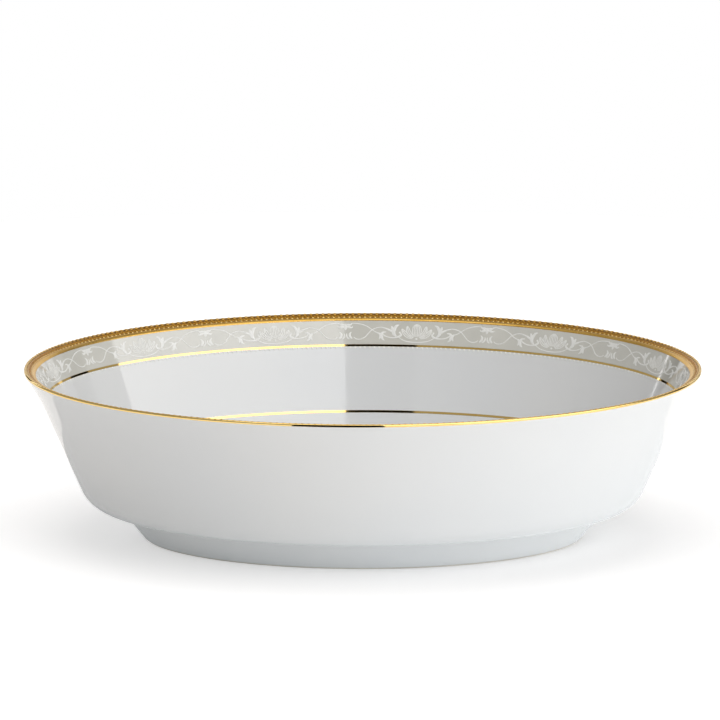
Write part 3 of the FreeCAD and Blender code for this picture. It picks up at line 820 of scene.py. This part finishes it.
frieze = {
    "repeats": 12,
    "lead": 19.4,
    "relief": 0.11,
    "stemWidth": 0.42,
}
blossomLines = petal((0, -1.5), (0, 3.35), 1.66, 6, 0.38)
blossomLines += mirrored(petal((1.1, -1.75), (3.6, 2.55), 0.66, 3, 0.42, curl=0.62))
blossomLines += mirrored(petal((1.5, -2.1), (5.6, 1.45), 0.66, 3, 0.42, curl=0.6))
blossomLines += [[(0, -1.95, 0.3), (0, -2.3, 1.0), (0, -2.7, 0.3)]]
leafLines = [
    [(5.9, 0.3, 0.25), (6.5, 0.1, 0.5), (5.8, -0.7, 0.75), (6.5, -1.5, 0.9), (8.4, -2.0, 0.55),
     (10.6, -1.8, 0.5), (12.2, -1.1, 0.5), (12.7, -0.4, 0.3)],
    [(7.6, -1.5, 0.5), (8.5, -0.5, 1.3), (8.8, 0.8, 1.5), (9.2, 1.8, 1.1), (9.5, 2.5, 0.35)],
    [(8.4, 0.2, 0.7), (8.2, 1.5, 1.1), (7.7, 2.5, 1.0), (6.7, 3.0, 0.3)],
    [(8.8, 0.1, 0.7), (10.0, 0.8, 0.9), (11.4, 1.5, 0.6), (13.2, 2.0, 0.42)],
    [(14.6, -0.1, 0.3), (13.8, -0.6, 1.0), (13.2, -1.5, 1.3), (12.8, -2.4, 0.9), (12.0, -3.0, 0.3)],
    [(11.4, 0.2, 0.3), (12.6, 0.0, 0.8), (13.3, -0.8, 1.1), (13.7, -1.8, 0.8), (14.0, -2.6, 0.3)],
]
width = frieze["stemWidth"]
stemLines = [
    [(13.2, 2.0, width), (14.8, 1.8, width), (16.7, 1.0, width), (18.1, -0.4, width), (19.5, -1.9, width),
     (21.1, -2.6, width), (22.7, -2.5, width), (23.6, -1.8, 0.3)],
    [(14.0, -0.4, 0.4), (15.3, 0.1, width), (16.7, 1.0, width), (18.3, 2.1, width), (20.0, 2.9, width),
     (22.4, 3.4, width), (24.4, 3.5, 0.3)],
]
cupLine = [(-6.6, -1.9, 0.3), (-4.6, -3.0, width), (-2.1, -3.5, width), (0, -3.6, width),
           (2.1, -3.5, width), (4.6, -3.0, width), (6.6, -1.9, 0.3)]
floretLines = [[(0, 3.3, 0.5), (0, 2.5, 1.5), (0, 1.5, 1.1), (0, 0.8, 0.3)]]
floretLines += mirrored([
    [(0.2, 2.9, 0.5), (1.2, 2.9, 1.0), (2.0, 3.0, 0.7), (2.5, 3.5, 0.3)],
    [(0.3, 2.2, 0.6), (1.4, 2.0, 1.0), (2.3, 1.8, 0.6), (2.8, 2.3, 0.25)],
    [(0.5, -0.4, 0.3), (0.4, -1.3, 0.6), (0.8, -2.1, 0.7), (1.5, -2.6, 0.4)],
    [(2.3, 0.2, 0.25), (1.6, -0.6, 0.8), (1.7, -1.6, 1.0), (2.5, -2.4, 0.6)],
])
middle = gilding["groundGap"] + gilding["ground"] / 2
enamel, relief = materials["raisedEnamel"], frieze["relief"]
steps = oval["Steps"]
turns = [2 * math.pi * (step + 0.5) / steps for step in range(steps)]
speeds = [math.hypot(oval["Half Length"] * math.cos(turn), oval["Half Width"] * math.sin(turn))
          for turn in turns]
lipLength = sum(speeds) * 2 * math.pi / steps / mm
friezePitch = (lipLength - 2 * math.pi * slide(rimPlace, wallSlope, middle)[0]) / frieze["repeats"]
for name, lines, node, shift in (
        ("lotusBlossoms", blossomLines, "frieze_blossoms", 0),
        ("acanthusLeaves", mirrored(leafLines), "frieze_leaves", 0),
        ("crossingStems", mirrored(stemLines) + [cupLine], "frieze_stems", 0),
        ("hangingFlorets", floretLines, "frieze_florets", 0.5)):
    lead = frieze["lead"] + shift * friezePitch
    lay(name, strokes(name + "Unit", lines, relief), enamel, [node], "raised_enamel",
        count=frieze["repeats"], lead=lead * mm, **onWall(middle, gilding["groundFilm"]))
print("frieze made")

# the fired body under the glaze keeps its CAD shape
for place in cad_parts["porcelain_body"].material_slots:
    place.material = materials["bareBiscuit"]


# Floor and light

stageSet = {
    "floorRadius": 0.6,
    "floorSides": 64,
    "floorColor": (0.80, 0.79, 0.785, 1),
    # For the camera the table's glow is lower close to the bowl and on its right than further out: painted
    # shadow round the bowl, deeper on the right
    "seenLeft": 0.47,       # glow that lifts the lit table to white for the camera
    "seenRight": 0.22,
    "seenFar": 0.66,
    "fadeStart": 0.6,       # where the near glow starts to turn into the far one, in close zones
    "fadeEnd": 1.3,
    # The table's glow towards the bowl is painted bounce light: stronger on the right than the left,
    # stronger again beyond a sharp edge at the close zone's oval, cool close by and warm further out
    "castLeft": 0.11,       # glow that the table gives the bowl, close by and further out
    "castRight": 0.34,
    "castFar": 0.55,
    "nearColor": (0.88, 0.96, 1.0, 1),
    "farColor": (1.0, 0.97, 0.93, 1),
    "nearScale": 1.42,      # the close zone's oval, as a multiple of the lip's
    "worldGlow": 0.36,
    "worldSeen": 1.0,
}


def standing(azimuth, distance, low, high):
    # middle and turn of an upright card, its azimuth measured from the front towards the right
    swing = math.radians(azimuth)
    spot = Vector((distance * math.sin(swing), -distance * math.cos(swing), (low + high) / 2))
    return spot, Euler((math.radians(90), 0, swing))


def softLight(name, spot, turn, across, tall, radiance, color):
    light = bpy.data.lights.new(name, "AREA")
    light.shape = "RECTANGLE"
    light.size, light.size_y = across, tall
    light.energy = radiance * math.pi * across * tall
    light.color = color
    item = bpy.data.objects.new(name, light)
    collection.objects.link(item)
    item.location, item.rotation_euler = spot, turn
    item.visible_camera = False


def panel(name, azimuth, distance, width, low, high, radiance, color=(1, 1, 1)):
    spot, turn = standing(azimuth, distance, low, high)
    softLight(name, spot, turn, width, high - low, radiance, color)


def flag(name, azimuth, distance, width, low, high, material):
    spot, turn = standing(azimuth, distance, low, high)
    across, tall = width / 2, (high - low) / 2
    corners = [(-across, -tall), (across, -tall), (across, tall), (-across, tall)]
    mesh = bpy.data.meshes.new(name)
    mesh.from_pydata([turn.to_matrix() @ Vector((x, y, 0)) + spot for x, y in corners], [], [(0, 1, 2, 3)])
    mesh.materials.append(material)
    item = bpy.data.objects.new(name, mesh)
    collection.objects.link(item)
    item.visible_camera = False


# azimuth, distance, width, foot, top and radiance
panel("softboxRight", 48, 1.1, 2.1, 0.4, 1.4, 1.9, (0.98, 0.99, 1.0))
panel("lowFillRight", 50, 0.9, 0.9, 0.0, 0.16, 1.7)
panel("stripLeft", -133.3, 0.9, 0.03, 0.1, 0.4, 1.9)
panel("backdropGlow", 180, 1.6, 3.0, 0.0, 1.0, 0.6)
softLight("softboxTop", (0, -0.25, 1.3), (0, 0, 0), 1.2, 1.2, 1.1, (1.0, 0.98, 0.96))


# a pale matte table, with a glow that paints bounce light on the bowl and paints the table's shadow deeper
# near the bowl and on its right
def buildFloorMaterial():
    material = bpy.data.materials.new("paleTable")
    material.use_nodes = True
    tree = material.node_tree
    tree.nodes.clear()
    matte = addNode(tree, "ShaderNodeBsdfDiffuse", {"Color": stageSet["floorColor"]})
    where = addNode(tree, "ShaderNodeTexCoord").outputs["Object"]
    reach = stageSet["nearScale"]
    shrunk = vectors(tree, "DIVIDE", where, (glazeHigh.x * reach, glazeHigh.y * reach, 1))
    radius = addNode(tree, "ShaderNodeVectorMath", {0: shrunk}, operation="LENGTH").outputs["Value"]
    beyond = maths(tree, "GREATER_THAN", radius, 1.0)
    across = addNode(tree, "ShaderNodeSeparateXYZ", {0: where}).outputs[0]
    castNear, seenNear = (
        addNode(tree, "ShaderNodeMapRange", {
            "Value": across, "From Min": -glazeHigh.x, "From Max": glazeHigh.x,
            "To Min": stageSet[kind + "Left"], "To Max": stageSet[kind + "Right"]})
        for kind in ("cast", "seen"))
    # painted bounce light and reflection on the bowl: the close zone's glow grows from left to right, and
    # a brighter far zone starts at a sharp edge
    cast = addNode(tree, "ShaderNodeMapRange", {
        "Value": beyond, "To Min": castNear.outputs[0], "To Max": stageSet["castFar"]})
    # painted shadow: the camera sees less glow close to the bowl and on its right
    shown = addNode(tree, "ShaderNodeMapRange", {
        "Value": radius, "From Min": stageSet["fadeStart"], "From Max": stageSet["fadeEnd"],
        "To Min": seenNear.outputs[0], "To Max": stageSet["seenFar"]})
    # tint of the painted bounce light: cool close by, warm further out
    tint = addNode(tree, "ShaderNodeMix", {
        "Factor": beyond, 6: stageSet["nearColor"], 7: stageSet["farColor"]}, data_type="RGBA")
    seen = addNode(tree, "ShaderNodeLightPath").outputs["Is Camera Ray"]
    level = addNode(tree, "ShaderNodeMix", {"Factor": seen, 2: cast.outputs[0], 3: shown.outputs[0]})
    color = addNode(tree, "ShaderNodeMix", {
        "Factor": seen, 6: tint.outputs[2], 7: (1, 1, 1, 1)}, data_type="RGBA")
    glow = addNode(tree, "ShaderNodeEmission", {"Color": color.outputs[2], "Strength": level.outputs[0]})
    both = addNode(tree, "ShaderNodeAddShader", {0: matte.outputs[0], 1: glow.outputs[0]})
    clear = addNode(tree, "ShaderNodeBsdfTransparent")
    side = addNode(tree, "ShaderNodeNewGeometry").outputs["Backfacing"]
    mixed = addNode(tree, "ShaderNodeMixShader", {0: side, 1: both.outputs[0], 2: clear.outputs[0]})
    addNode(tree, "ShaderNodeOutputMaterial", {"Surface": mixed.outputs[0]})
    return material


floorMesh = bpy.data.meshes.new("table")
sides = stageSet["floorSides"]
floorTurns = [2 * math.pi * side / sides for side in range(sides)]
around = [(stageSet["floorRadius"] * math.cos(turn), stageSet["floorRadius"] * math.sin(turn), 0)
          for turn in floorTurns]
floorMesh.from_pydata(around, [], [list(range(sides))])
floorMesh.materials.append(buildFloorMaterial())
table = bpy.data.objects.new("table", floorMesh)
collection.objects.link(table)

# black flags, which the polished gold mirrors
flagMaterial = bpy.data.materials.new("blackFlag")
flagMaterial.use_nodes = True
flagMaterial.node_tree.nodes.clear()
black = addNode(flagMaterial.node_tree, "ShaderNodeBsdfDiffuse", {"Color": (0.01, 0.01, 0.01, 1)})
addNode(flagMaterial.node_tree, "ShaderNodeOutputMaterial", {"Surface": black.outputs[0]})
flag("flagFront", -5.9, 0.36, 0.146, 0.0, 0.56, flagMaterial)
flag("flagRight", 122, 0.9, 0.25, 0.0, 0.6, flagMaterial)
flag("flagLeft", -142.5, 0.9, 0.19, 0.05, 0.3, flagMaterial)
flag("flagLowRight", 141, 0.9, 0.3, 0.0, 0.16, flagMaterial)

world = bpy.data.worlds.new("studio")
bpy.context.scene.world = world
world.use_nodes = True
worldTree = world.node_tree
worldTree.nodes.clear()
seen = addNode(worldTree, "ShaderNodeLightPath").outputs["Is Camera Ray"]
level = addNode(worldTree, "ShaderNodeMapRange", {
    "Value": seen, "To Min": stageSet["worldGlow"], "To Max": stageSet["worldSeen"]})
sky = addNode(worldTree, "ShaderNodeBackground", {"Color": (1, 1, 1, 1), "Strength": level.outputs[0]})
addNode(worldTree, "ShaderNodeOutputWorld", {"Surface": sky.outputs[0]})


# Camera, looking slightly down at the long side

view = {
    "distance": 2.5,
    "elevation": 13.2,
    "azimuth": 0.54,
    "roll": -0.08,
    "orbitHeight": 0.035,
    "aim": (-0.00097, 0.0, 0.06543),
    "lens": 345,
}
swing = math.radians(view["azimuth"])
climb = math.radians(view["elevation"])
eye = Vector((math.cos(climb) * math.sin(swing), -math.cos(climb) * math.cos(swing), math.sin(climb)))
eye = eye * view["distance"] + Vector((0, 0, view["orbitHeight"]))
camera = bpy.data.objects.new("camera", bpy.data.cameras.new("camera"))
collection.objects.link(camera)
camera.data.lens = view["lens"]
camera.data.sensor_width = 36
camera.location = eye
camera.rotation_mode = "QUATERNION"
aim = (Vector(view["aim"]) - eye).to_track_quat("-Z", "Y")
camera.rotation_quaternion = aim @ Quaternion((0, 0, 1), math.radians(view["roll"]))
bpy.context.scene.camera = camera
bpy.context.scene.view_settings.view_transform = "Standard"
